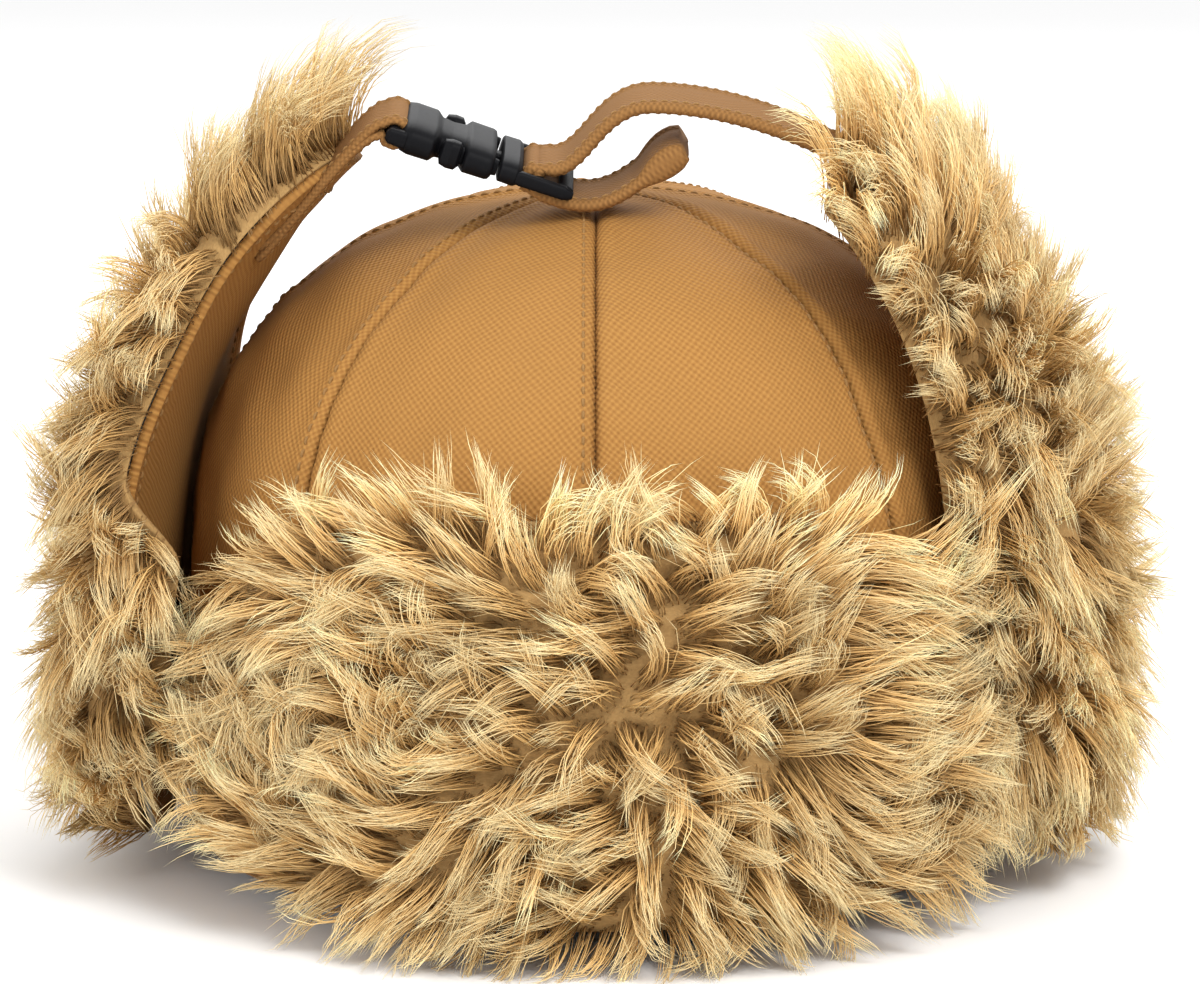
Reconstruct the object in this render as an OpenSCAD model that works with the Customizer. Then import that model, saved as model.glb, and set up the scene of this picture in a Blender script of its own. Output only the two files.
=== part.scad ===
// Trapper hat: a padded canvas crown sewn from eight gores, with a fur-faced visor, a neck flap
// and two ear flaps folded up, the ear flaps buckled together over the top.
// Millimetres, +Z up, the front of the hat faces -Y. Left and right are as seen from the front,
// so a left piece is at -X and lies over the wearer's right ear.
// The origin is the centre of the lower rim, in the plane the hat rests on.

/* [Crown] */
// Outside width of the crown across the ears
crown_w = 190; // [184:1:196]
// Extra depth of the crown, front to back
crown_stretch = 26; // [18:1:32]
// Height of the crown above the rest plane
crown_h = 151; // [149:1:154]
// Height of the upright wall below the dome
wall_h = 63; // [58:1:68]
// Squareness of the dome, where 2 is a plain ellipse
dome_n = 2.2; // [2:0.05:2.4]

/* [Layers] */
// Thickness of the outer canvas
canvas_t = 1.4; // [1:0.1:1.6]
// Thickness of the quilted wadding in the crown
wadding_t = 4; // [3:0.5:4.5]
// Thickness of the crown lining
lining_t = 0.8; // [0.6:0.1:1]
// Thickness of the stiff interlining in the flaps
stiffener_t = 1.8; // [1.2:0.1:2]
// Thickness of the sweatband
band_t = 2; // [1.5:0.1:2.5]
// Height of the sweatband
band_h = 34; // [26:1:40]
// Height of the bound edge at the lower rim
binding_h = 3; // [2:0.5:4]

/* [Visor and neck flap] */
// Height of the visor when it is folded up
visor_h = 90; // [80:1:96]
// Angle the visor covers on each side of the front seam
visor_reach = 52; // [46:1:54]
// Depth of the visor's fur
visor_fur_t = 27; // [20:1:30]
// Height of the neck flap when it is folded up
neck_h = 104; // [90:1:108]
// Depth of the neck flap's fur
neck_fur_t = 27; // [20:1:30]

/* [Ear flaps] */
// Half-width of the curve the flaps follow, measured from the middle of the hat
flap_a = 108; // [106:1:110]
// Upright half-size of that curve
flap_b = 135; // [133:1:137]
// Height of the middle of that curve
flap_z = 50; // [49:1:51]
// Half the flap's width at the fold
flap_half_w = 64; // [58:1:66]
// Half the flap's width at the tip
flap_tip_w = 24; // [20:1:26]
// How far the tip is set towards the face
flap_tip_shift = 28; // [24:1:30]
// Depth of the ear flaps' fur
flap_fur_t = 27; // [20:1:28]

/* [Strap and buckle] */
// Width of the chin strap
strap_w = 20; // [18:1:20]
// Thickness of the chin strap
strap_t = 2; // [1.6:0.1:2]
// Width of the side-release buckle
buckle_w = 27; // [26:0.5:28]
// Thickness of the buckle's socket
buckle_t = 8; // [7.6:0.1:8.4]

/* [Hidden] */
$fn = 96;
crown_r = crown_w / 2;
dome_h = crown_h - wall_h;
pole = crown_stretch / 2;
pole_hole = 0.3;                            // the layers end this short of the middle of the top
gap = 0.1;                                  // between layers that are sewn together
free = 1;                                   // between the crown and a flap folded against it
wadding_at = canvas_t + gap;
lining_at = wadding_at + wadding_t + gap;
band_at = lining_at + lining_t + gap;
rim_in = band_at + band_t;
visor_r = crown_r + free;
flap_low = -20.5;                           // where the flaps start on their curve, in degrees
flap_high = 55;                             // where their canvas ends
strap_y = -34;                              // the strap crosses ahead of the middle of the hat
buckle_x = -26;
buckle_z = 163;
buckle_tilt = 19;                           // the buckle slopes down to the right
buckle_lean = 9;                            // and lies back against the dome
half_l = 22;                                // half the closed buckle's length
mouth_u = 3;                                // the socket's mouth, along the buckle
cavity_u = -12;
cavity_w = buckle_w / 2 - 1.6;
cavity_t = 2.6;
window_w = 6.4;
bar_u = 13.8;                               // the bar the strap turns round
bar_r = 1.5;
slot_w = strap_w + 1.2;
prong_u = 4.2;                              // where the clip's prongs flex
prong_in = 8.2;
prong_t = 2.1;
canvas_c = [0.80, 0.58, 0.31];
fur_c = [0.86, 0.76, 0.56];
black_c = [0.10, 0.10, 0.11];
lining_c = [0.30, 0.22, 0.15];

// ---- the crown: a dome with two poles, so that it is deeper than it is wide ----

function dome_point(in, a) = [max((crown_r - in) * pow(cos(a), 2 / dome_n), pole_hole),
    wall_h + (dome_h - in) * pow(sin(a), 2 / dome_n)];

module shell_profile(from, to, z) {
    polygon(concat([[crown_r - from, z]], [for (a = [0:7.5:90]) dome_point(from, a)],
        [for (a = [90:-7.5:0]) dome_point(to, a)], [[crown_r - to, z]]));
}

// A slice of turned profile round the front pole, between two compass angles.
module front_slice(from, to) {
    translate([0, -pole, 0]) rotate([0, 0, from]) rotate_extrude(angle = to - from) children();
}

// The straight run of a profile on the +X side, from the middle to the front pole.
module side_run() {
    rotate([90, 0, 0]) linear_extrude(pole) children();
}

// The canvas and the wadding of the crown, cut to one gore: a wedge from the front pole,
// between two compass angles.
module gore(from, to) {
    reach = 400;
    intersection() {
        all_round() children();
        translate([0, 0, -1]) linear_extrude(crown_h + 10) polygon(to > 0
            ? [[0, 0], [0, -pole], [0, -pole] + reach * [cos(from), sin(from)], [reach, 0]]
            : [[0, -pole], [0, -pole] + reach * [cos(from), sin(from)],
                [0, -pole] + reach * [cos(to), sin(to)]]);
    }
}

module front_gore() { gore(-90, -45) children(); }
module side_gore() { gore(-45, 1) children(); }
module outer() { color(canvas_c) shell_profile(0, canvas_t, binding_h + gap); }
module inner() {
    color(lining_c) shell_profile(wadding_at, wadding_at + wadding_t, binding_h + gap);
}

module gore_front_right() { front_gore() outer(); }
module gore_front_left() { mirror([1, 0, 0]) front_gore() outer(); }
module gore_side_right_front() { side_gore() outer(); }
module gore_side_left_front() { mirror([1, 0, 0]) side_gore() outer(); }
module gore_side_right_back() { mirror([0, 1, 0]) side_gore() outer(); }
module gore_side_left_back() { mirror([1, 0, 0]) mirror([0, 1, 0]) side_gore() outer(); }
module gore_back_right() { mirror([0, 1, 0]) front_gore() outer(); }
module gore_back_left() { mirror([1, 0, 0]) mirror([0, 1, 0]) front_gore() outer(); }
module wadding_front_right() { front_gore() inner(); }
module wadding_front_left() { mirror([1, 0, 0]) front_gore() inner(); }
module wadding_side_right_front() { side_gore() inner(); }
module wadding_side_left_front() { mirror([1, 0, 0]) side_gore() inner(); }
module wadding_side_right_back() { mirror([0, 1, 0]) side_gore() inner(); }
module wadding_side_left_back() { mirror([1, 0, 0]) mirror([0, 1, 0]) side_gore() inner(); }
module wadding_back_right() { mirror([0, 1, 0]) front_gore() inner(); }
module wadding_back_left() { mirror([1, 0, 0]) mirror([0, 1, 0]) front_gore() inner(); }

// A whole layer of the crown, from the profile of its +X side.
module all_round() {
    for (back = [0, 1]) mirror([0, back, 0]) {
        front_slice(180, 360) children();
        side_run() children();
        mirror([1, 0, 0]) side_run() children();
    }
}

module crown_lining() {
    color(lining_c) all_round() shell_profile(lining_at, lining_at + lining_t, binding_h + gap);
}

module ring_profile(from, to, low, high) {
    polygon([[crown_r - to, low], [crown_r - from, low], [crown_r - from, high],
        [crown_r - to, high]]);
}

module sweatband() {
    color(lining_c) all_round() ring_profile(band_at, rim_in, binding_h + gap, band_h);
}

module rim_binding() {
    color(canvas_c) all_round() ring_profile(0, lining_at + lining_t, 0, binding_h);
}

// ---- the visor and the neck flap, wrapped round the ends of the crown ----

module wrapped() {
    front_slice(270 - visor_reach, 270 + visor_reach) children();
}

module sheet_profile(from, to, low, high) {
    polygon([[visor_r + from, low], [visor_r + to, low], [visor_r + to, high],
        [visor_r + from, high]]);
}

// Fur seen from the side: full in the middle, drawn in at the fold and at the free edge.
module fur_profile(depth, high) {
    at = visor_r + canvas_t + stiffener_t + 3 * gap;
    polygon(concat([[at, 1]], [for (s = [0:0.1:1])
        [at + 0.35 * depth + 0.65 * depth * pow(sin(180 * pow(s, 0.8)), 0.6), 1 + (high - 1) * s]],
        [[at, high]]));
}

module visor_canvas() { color(canvas_c) wrapped() sheet_profile(0, canvas_t, 1, visor_h); }
module visor_interlining() {
    color(lining_c) wrapped()
        sheet_profile(canvas_t + gap, canvas_t + gap + stiffener_t, 2, visor_h - 2);
}
module visor_fur() { color(fur_c) wrapped() fur_profile(visor_fur_t, visor_h + 6); }
module neck_flap_canvas() {
    color(canvas_c) mirror([0, 1, 0]) wrapped() sheet_profile(0, canvas_t, 1, neck_h);
}
module neck_flap_interlining() {
    color(lining_c) mirror([0, 1, 0]) wrapped()
        sheet_profile(canvas_t + gap, canvas_t + gap + stiffener_t, 2, neck_h - 2);
}
module neck_flap_fur() {
    color(fur_c) mirror([0, 1, 0]) wrapped() fur_profile(neck_fur_t, neck_h + 6);
}

// ---- the ear flaps: sheets bent over the sides of the crown ----

function flap_point(a, out) = [(flap_a + out) * cos(a), flap_z + (flap_b + out) * sin(a)];

module bent_sheet(from, to, low, high) {
    step = (high - low) / 14;
    polygon(concat([for (a = [low:step:high + 0.01]) flap_point(a, to)],
        [for (a = [high:-step:low - 0.01]) flap_point(a, from)]));
}

module bent_fur(at, depth, low, high) {
    step = (high - low) / 14;
    polygon(concat([for (i = [0:14]) flap_point(low + step * i,
            at + 0.3 * depth + 0.7 * depth * pow(sin(180 * i / 14), 0.6))],
        [for (i = [14:-1:0]) flap_point(low + step * i, at)]));
}

flap_top = flap_z + (flap_b + 4) * sin(flap_high + 6);
function flap_mid(s) = 2 - flap_tip_shift * pow(s, 1.5);
function flap_half(s) = flap_tip_w + (flap_half_w - flap_tip_w) * (1 - pow(s, 2.5));

// The flap's outline seen from the side, as a block across its thickness.
module flap_block(inset) {
    rotate([90, 0, 90]) linear_extrude(200) polygon(concat(
        [for (s = [0:0.1:1.31]) [flap_mid(min(s, 1)) - flap_half(min(s, 1)) + inset, flap_top * s]],
        [for (s = [1.3:-0.1:-0.01]) [flap_mid(min(s, 1)) + flap_half(min(s, 1)) - inset,
            flap_top * max(s, 0)]]));
}

module flap_sheet(inset) {
    intersection() {
        flap_block(inset);
        translate([0, 100, 0]) rotate([90, 0, 0]) linear_extrude(200) children();
    }
}

// The strip of canvas that joins the flap to the crown's edge.
module flap_foot() {
    start = flap_point(flap_low, 0);
    outer = flap_point(flap_low, canvas_t);
    polygon([[crown_r + 0.6, 0.4], [outer[0] + 0.3, 0.4], [outer[0] + 0.1, outer[1] + 1],
        [start[0] + 0.1, start[1] + 1], [start[0] - 1, 1.8], [crown_r + 0.6, 1.8]]);
}

module flap_canvas() {
    color(canvas_c) flap_sheet(3) union() {
        bent_sheet(0, canvas_t, flap_low, flap_high);
        flap_foot();
    }
}
module flap_interlining() {
    color(lining_c) flap_sheet(5)
        bent_sheet(canvas_t + gap, canvas_t + gap + stiffener_t, flap_low + 1, flap_high - 1);
}
module flap_fur() {
    color(fur_c) flap_sheet(0)
        bent_fur(canvas_t + stiffener_t + 3 * gap, flap_fur_t, flap_low + 1, flap_high + 0.4);
}

module right_flap_canvas() { flap_canvas(); }
module right_flap_interlining() { flap_interlining(); }
module right_flap_fur() { flap_fur(); }
module left_flap_canvas() { mirror([1, 0, 0]) flap_canvas(); }
module left_flap_interlining() { mirror([1, 0, 0]) flap_interlining(); }
module left_flap_fur() { mirror([1, 0, 0]) flap_fur(); }

// ---- the strap and its buckle, in a frame that runs along the closed buckle ----

module at_buckle() {
    translate([buckle_x, strap_y, buckle_z]) rotate([buckle_lean, 0, 0])
        rotate([0, buckle_tilt, 0]) children();
}

// A point of the hat's X-Z plane, in that frame's own plane.
function along(p) = [
    (p[0] - buckle_x) * cos(buckle_tilt) - (p[1] - buckle_z) * sin(buckle_tilt),
    (p[0] - buckle_x) * sin(buckle_tilt) + (p[1] - buckle_z) * cos(buckle_tilt)];

function bezier(p, s) = pow(1 - s, 3) * p[0] + 3 * s * pow(1 - s, 2) * p[1]
    + 3 * s * s * (1 - s) * p[2] + pow(s, 3) * p[3];
function unit(v) = v / norm(v);
function side_of(p, s) = let (d = unit(bezier(p, min(s + 0.01, 1)) - bezier(p, max(s - 0.01, 0))))
    [-d[1], d[0]];

// Tape of one width, laid along a curve in the strap's plane.
module tape(p, wide, thick, steps) {
    rotate([90, 0, 0]) translate([0, 0, -wide / 2]) linear_extrude(wide) polygon(concat(
        [for (i = [0:steps]) bezier(p, i / steps) + side_of(p, i / steps) * thick / 2],
        [for (i = [steps:-1:0]) bezier(p, i / steps) - side_of(p, i / steps) * thick / 2]));
}

// The way up the left flap's curve, where the loop is sewn on.
function loop_start_dir() =
    unit([flap_a * sin(flap_high - 4), flap_b * cos(flap_high - 4)]);

turn_r = bar_r + 0.4 + strap_t / 2;         // the strap's middle, where it goes round the bar
main_start = [bar_u, turn_r];
tail_start = [bar_u, -turn_r];
strap_end = along(flap_point(flap_high + 1.4, -strap_t / 2 - 0.3));
strap_top = along([12.6, 175.5]);
tail_end = along([20, 165]);
level = [cos(buckle_tilt), sin(buckle_tilt)]; // the hat's own +X, in that plane
loop_end = along([-flap_point(flap_high - 8.5, -3.4)[0], flap_point(flap_high - 8.5, -3.4)[1]]);
loop_up = along(loop_start_dir() + [buckle_x, buckle_z]);

module strap() {
    color(canvas_c) at_buckle() {
        tape([main_start, main_start + [10, 0], strap_top - 13 * level, strap_top],
            strap_w, strap_t, 14);
        tape([strap_top, strap_top + 16 * level, strap_end + [-14, 3], strap_end],
            strap_w, strap_t, 10);
        tape([tail_start, tail_start + [19, -2.2], tail_end + [-10, -12], tail_end],
            strap_w, strap_t, 12);
        translate(concat(tail_end[0], 0, tail_end[1])) rotate([90, 0, 0])
            cylinder(h = strap_w, r = strap_t / 2 + 0.5, center = true);
        rotate([90, 0, 0]) linear_extrude(strap_w, center = true) difference() {
            translate([bar_u, 0]) circle(turn_r + strap_t / 2);
            translate([bar_u, 0]) circle(turn_r - strap_t / 2);
            translate([bar_u, -10]) square(20);
        }
    }
}

// A flat patch of tape sewn inside the tip of the right flap, which the strap hangs from.
module strap_anchor() {
    color(canvas_c) intersection() {
        translate([0, strap_y + strap_w / 2, 0]) rotate([90, 0, 0]) linear_extrude(strap_w)
            bent_sheet(-strap_t - 0.3, -0.4, flap_high - 10, flap_high + 0.6);
        translate([0, strap_y - 50, 0]) cube([200, 100, 300]);
    }
}

// A loop of tape sewn inside the tip of the left flap and round the socket's bar.
module buckle_loop() {
    eye = [-half_l + 1.6, 0];
    color(canvas_c) difference() {
        at_buckle() {
            rotate([90, 0, 0]) linear_extrude(strap_w, center = true) difference() {
                translate(eye) circle(bar_r + 0.4 + strap_t * 0.7);
                translate(eye) circle(bar_r + 0.1);
            }
            tape([eye - [bar_r + 1, 0.4], eye - [4, 3], loop_end + 6 * loop_up, loop_end],
                strap_w, 1.8, 8);
        }
        // the canvas that it lies flat against
        mirror([1, 0, 0]) translate([0, strap_y + 30, 0]) rotate([90, 0, 0]) linear_extrude(60)
            bent_sheet(-0.35, canvas_t + 0.4, flap_high - 16, flap_high + 0.3);
    }
}

module slot(from, to, wide) {
    translate([from, -wide / 2, -10]) cube([to - from, wide, 20]);
}

module rounded_plate(from, to, wide, thick, corner = 3) {
    translate([0, 0, -thick / 2]) union() {
        translate([from + corner, -wide / 2, 0]) cube([to - from - 2 * corner, wide, thick]);
        translate([from, -wide / 2 + corner, 0]) cube([to - from, wide - 2 * corner, thick]);
        for (x = [from + corner, to - corner], y = [-1, 1])
            translate([x, y * (wide / 2 - corner), 0]) cylinder(h = thick, r = corner);
    }
}

module buckle_socket() {
    color(black_c) at_buckle() {
        difference() {
            rounded_plate(-half_l + 3.3, mouth_u, buckle_w, buckle_t);
            translate([cavity_u, -cavity_w, -cavity_t])
                cube([mouth_u - cavity_u + 1, 2 * cavity_w, 2 * cavity_t]);
            for (y = [0, 1]) mirror([0, y, 0])
                translate([-10.6, window_w, -10]) cube([6.4, 20, 20]);
            slot(-half_l + 3.2, -half_l + 6.6, slot_w);
        }
        translate([-half_l + 1.6, 0, 0]) rotate([90, 0, 0])
            cylinder(h = buckle_w - 4, r = bar_r, center = true);
        for (y = [0, 1]) mirror([0, y, 0])
            translate([-half_l + 0.2, slot_w / 2 + 0.1, -2]) cube([7, 2.6, 4]);
    }
}

module buckle_clip() {
    color(black_c) at_buckle() {
        difference() {
            rounded_plate(prong_u + 0.5, half_l, buckle_w, 2.8);
            slot(bar_u - turn_r - strap_t / 2 - 0.3, 18.6, slot_w);
        }
        translate([bar_u, 0, 0]) rotate([90, 0, 0])
            cylinder(h = buckle_w - 3, r = bar_r, center = true);
        rounded_plate(prong_u + 0.5, 9.3, buckle_w, 6.4, 1.5);
        translate([-8, -2.2, -1.2]) cube([prong_u + 9, 4.4, 2.4]);
    }
}

// One of the clip's prongs: a thin arm and a head that locks in the socket's window.
module prong() {
    head_out = buckle_w / 2 - 0.3;
    translate([-9.4, prong_in, -prong_t]) cube([prong_u + 9.4, 2.5, 2 * prong_t]);
    translate([-9.4, prong_in + 1.1, -3.4]) cube([4.8, head_out - prong_in - 1.1, 6.8]);
}

module prong_rear() { color(black_c) at_buckle() prong(); }
module prong_front() { color(black_c) at_buckle() mirror([0, 1, 0]) prong(); }

gore_front_left();
gore_front_right();
gore_side_left_front();
gore_side_right_front();
gore_side_left_back();
gore_side_right_back();
gore_back_left();
gore_back_right();
wadding_front_left();
wadding_front_right();
wadding_side_left_front();
wadding_side_right_front();
wadding_side_left_back();
wadding_side_right_back();
wadding_back_left();
wadding_back_right();
crown_lining();
sweatband();
rim_binding();
visor_canvas();
visor_interlining();
visor_fur();
neck_flap_canvas();
neck_flap_interlining();
neck_flap_fur();
left_flap_canvas();
left_flap_interlining();
left_flap_fur();
right_flap_canvas();
right_flap_interlining();
right_flap_fur();
buckle_loop();
buckle_socket();
strap_anchor();
strap();
buckle_clip();
prong_front();
prong_rear();
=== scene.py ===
"""The looks of the trapper hat: sewn canvas, long-pile fur, tape and buckle, over the CAD frame.

Lengths are in millimetres until a mesh is made. +Z is up and the front of the hat faces -Y.
"""

import math

import bmesh
import bpy
import numpy as np
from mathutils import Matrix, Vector


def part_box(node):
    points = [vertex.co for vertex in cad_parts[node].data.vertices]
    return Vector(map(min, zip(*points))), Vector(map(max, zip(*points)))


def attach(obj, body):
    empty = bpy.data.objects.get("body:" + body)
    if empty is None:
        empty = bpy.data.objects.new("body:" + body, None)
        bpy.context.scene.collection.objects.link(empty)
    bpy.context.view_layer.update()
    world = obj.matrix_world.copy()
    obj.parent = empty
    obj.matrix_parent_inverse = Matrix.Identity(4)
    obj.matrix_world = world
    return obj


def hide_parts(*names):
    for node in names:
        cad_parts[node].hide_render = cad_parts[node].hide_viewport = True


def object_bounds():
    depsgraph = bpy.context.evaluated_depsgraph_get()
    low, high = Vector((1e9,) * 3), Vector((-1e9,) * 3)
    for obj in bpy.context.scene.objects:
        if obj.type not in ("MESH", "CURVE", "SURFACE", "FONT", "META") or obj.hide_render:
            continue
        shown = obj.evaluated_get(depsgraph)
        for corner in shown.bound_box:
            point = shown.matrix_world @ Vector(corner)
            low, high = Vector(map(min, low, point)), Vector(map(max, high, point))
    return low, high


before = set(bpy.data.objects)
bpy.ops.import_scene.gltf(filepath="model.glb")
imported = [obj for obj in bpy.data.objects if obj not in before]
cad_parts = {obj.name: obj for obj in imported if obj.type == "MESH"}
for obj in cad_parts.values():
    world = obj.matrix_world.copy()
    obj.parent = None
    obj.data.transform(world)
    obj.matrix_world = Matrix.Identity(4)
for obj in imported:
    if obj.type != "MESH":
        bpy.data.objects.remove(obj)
cad_low, cad_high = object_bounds()
rng = np.random.default_rng(11)
MM = 0.001

# ---- sizes, from the CAD ----
RIM_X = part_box("rim_binding")[1][0] / MM          # half the crown's width
RIM_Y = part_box("rim_binding")[1][1] / MM          # half its depth
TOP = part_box("gore_front_left")[1][2] / MM
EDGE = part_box("gore_front_left")[0][2] / MM       # the gores' lower edge
BAND_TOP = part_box("sweatband")[1][2] / MM
WALL = 63.0                                       # the upright wall below the dome
DOME_N = 2.2                                      # how square the dome's profile is
VISOR_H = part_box("visor_canvas")[1][2] / MM
NECK_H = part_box("neck_flap_canvas")[1][2] / MM
STRAP_W, STRAP_T = 20.0, 2.6
FLAP_A, FLAP_B, FLAP_Z = 108.0, 135.0, 50.0       # the curve the ear flaps follow
FLAP_LOW, FLAP_HIGH = -20.5, 55.0                 # where they start and end on it, in degrees
FUR_FLOOR = -7.0                                  # how far the fringe hangs below the rim
FUR_TOP = cad_high[2] / MM + 14.0                 # how high the tips of the ear flaps reach

# ---- the layers: thickness, and how far each lies in from the crown's outer face ----
GORE_T, WADDING_T, LINING_T, BAND_T = 1.3, 3.4, 0.7, 1.6
WADDING_IN, LINING_IN, BAND_IN = 2.2, 6.2, 7.2
BINDING_IN, BINDING_HALF_W, BINDING_HALF_H = 3.3, 3.3, 1.75   # its middle, and its section
SHEET_T, INTERLINING_T = 1.5, 1.6
WRAP_OUT = {"canvas": 2.6, "interlining": 4.4, "fur": 5.2}    # visor and neck flap, out from it
FLAP_OUT = {"canvas": 1.4, "interlining": 3.2, "fur": 4.0}    # ear flaps, out from their curve

# ---- colours, linear ----
# the root colour is partly the pile's own brown and partly painted shadow deep in the pile
FUR_ROOT_SHADOWED = np.array([0.290, 0.158, 0.056])
FUR_MID = np.array([0.760, 0.480, 0.176])
FUR_TIP = np.array([0.950, 0.805, 0.465])


# ---- small helpers ----

def unit(v):
    return v / np.maximum(np.linalg.norm(v, axis=-1, keepdims=True), 1e-9)


def smooth(x, low=0.0, high=1.0):
    t = np.clip((x - low) / (high - low), 0, 1)
    return t * t * (3 - 2 * t)


def wobble(p, scale, seed):
    """Smooth noise of about -1 to 1 over points in space, one swell per scale millimetres."""
    r = np.random.default_rng(seed)
    out = np.zeros(p.shape[:-1])
    for _ in range(7):
        k = r.normal(size=3)
        k *= 2 * np.pi / scale / np.linalg.norm(k) * r.uniform(0.6, 1.5)
        out += np.sin(p @ k + r.uniform(0, 2 * np.pi))
    return out / 2.65


def lines(n, low=0.0, high=1.0):
    return np.linspace(low, high, n)


def new_mesh(name, verts, *face_sets):
    me = bpy.data.meshes.new(name)
    verts = np.asarray(verts, dtype=np.float64).reshape(-1, 3)
    me.vertices.add(len(verts))
    me.vertices.foreach_set("co", (verts * MM).astype(np.float32).ravel())
    sizes = np.concatenate([np.full(len(f), f.shape[1]) for f in face_sets])
    me.loops.add(int(sizes.sum()))
    corners = np.concatenate([np.asarray(f).ravel() for f in face_sets])
    me.loops.foreach_set("vertex_index", corners.astype(np.int32))
    me.polygons.add(len(sizes))
    starts = np.concatenate([[0], np.cumsum(sizes)[:-1]]).astype(np.int32)
    me.polygons.foreach_set("loop_start", starts)
    me.update(calc_edges=True)
    return me


def piece(me, material, body, name, nodes=(), tidy=True):
    """Puts a mesh in the scene as a named piece that moves with one body."""
    if tidy:
        bm = bmesh.new()
        bm.from_mesh(me)
        bmesh.ops.recalc_face_normals(bm, faces=bm.faces)
        bm.to_mesh(me)
        bm.free()
    me.polygons.foreach_set("use_smooth", np.ones(len(me.polygons), dtype=bool))
    me.materials.append(material)
    o = bpy.data.objects.new(name, me)
    bpy.context.scene.collection.objects.link(o)
    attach(o, body)
    if nodes:
        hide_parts(*nodes)
    return o


def put(me, name, kind, values):
    """Stores one value per vertex: a vector of cloth position, or a colour."""
    layer = me.attributes.new(name, kind, "POINT")
    key = "vector" if kind == "FLOAT_VECTOR" else "color"
    layer.data.foreach_set(key, np.asarray(values, dtype=np.float32).ravel())


def grid_quads(nu, nv, loop=False):
    i = np.arange(nu if loop else nu - 1)[:, None]
    j = np.arange(nv - 1)[None, :]
    k = (i + 1) % nu
    return np.stack([i * nv + j, k * nv + j, k * nv + j + 1, i * nv + j + 1], -1).reshape(-1, 4)


def normals(p, loop=False):
    if loop:
        du = np.roll(p, -1, 0) - np.roll(p, 1, 0)
    else:
        du = np.gradient(p, axis=0)
    return unit(np.cross(du, np.gradient(p, axis=1)))


def run_lengths(p):
    """Distances along both directions of a grid of points, the first from its middle line."""
    a = np.zeros(p.shape[:2])
    a[1:] = np.cumsum(np.linalg.norm(np.diff(p, axis=0), axis=2), axis=0)
    a -= a[p.shape[0] // 2]
    b = np.zeros(p.shape[:2])
    b[:, 1:] = np.cumsum(np.linalg.norm(np.diff(p, axis=1), axis=2), axis=1)
    return a, b[p.shape[0] // 2][None, :].repeat(p.shape[0], 0)


def cloth(o, p, held, rests_on):
    """Does nothing: the piece is not declared as a sheet here."""


def shell(name, p, thick, loop=False, flip=False):
    """Cloth: a closed sheet between a grid of points and the same grid set in by its thickness."""
    nu, nv = p.shape[:2]
    n = normals(p, loop) * (-1 if flip else 1)
    inner = p - n * np.broadcast_to(thick, (nu, nv))[..., None]
    q = grid_quads(nu, nv, loop)
    m = nu * nv
    sides = []
    i = np.arange(nu if loop else nu - 1)
    for j in (0, nv - 1):
        a, b = i * nv + j, ((i + 1) % nu) * nv + j
        sides.append(np.stack([a, b, b + m, a + m], -1))
    if not loop:
        j = np.arange(nv - 1)
        for i0 in (0, nu - 1):
            a, b = i0 * nv + j, i0 * nv + j + 1
            sides.append(np.stack([a, b, b + m, a + m], -1))
    me = new_mesh(name, np.concatenate([p.reshape(-1, 3), inner.reshape(-1, 3)]),
                  np.concatenate([q, q[:, ::-1] + m] + sides))
    a, b = run_lengths(p)
    flat = np.stack([a, b, np.zeros_like(a)], -1).reshape(-1, 3)
    put(me, "cloth", "FLOAT_VECTOR", np.concatenate([flat, flat]))
    return me


def sweep(name, path, side, section):
    """A closed solid along a path. side points across it, one row for each point.

    section is one cross-section, or one for each point of the path.
    """
    path, side = np.asarray(path), unit(np.asarray(side))
    along = unit(np.gradient(path, axis=0))
    up = unit(np.cross(side, along))
    side = np.cross(along, up)
    sec = np.broadcast_to(section, (len(path),) + np.shape(section)[-2:])
    p = path[:, None] + side[:, None] * sec[..., :1] + up[:, None] * sec[..., 1:]
    n, k = p.shape[:2]
    body = grid_quads(k, n, True)
    verts = p.transpose(1, 0, 2).reshape(-1, 3)
    ends = np.array([path[0], path[-1]])
    ring = np.arange(k)
    nxt = (ring + 1) % k
    caps = [np.stack([ring * n + j, nxt * n + j, np.full(k, k * n + e)], -1)
            for e, j in ((0, 0), (1, n - 1))]
    me = new_mesh(name, np.concatenate([verts, ends]), body, np.concatenate(caps))
    gone = np.concatenate([[0], np.cumsum(np.linalg.norm(np.diff(path, axis=0), axis=1))])
    a = np.broadcast_to(sec[..., 0], (n, k)).T
    b = np.broadcast_to(gone[None, :], (k, n))
    flat = np.stack([a, b, np.zeros_like(a)], -1).reshape(-1, 3)
    put(me, "cloth", "FLOAT_VECTOR", np.concatenate([flat, [[0, 0, 0], [0, gone[-1], 0]]]))
    return me


def tape_section(wide, thick):
    """A rounded flat section, thicker along its two turned edges."""
    h, t = wide / 2, thick / 2
    half = [(-h + 0.3, t * 0.55), (-h + 1.0, t), (-h + 2.6, t * 1.06), (-h + 3.4, t * 0.86),
            (-h * 0.4, t), (0, t * 1.04)]
    top = half + [(-x, y) for x, y in reversed(half[:-1])]
    return np.array([(-h, 0.0)] + top + [(h, 0.0)] + [(x, -y) for x, y in reversed(top)])


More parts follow.
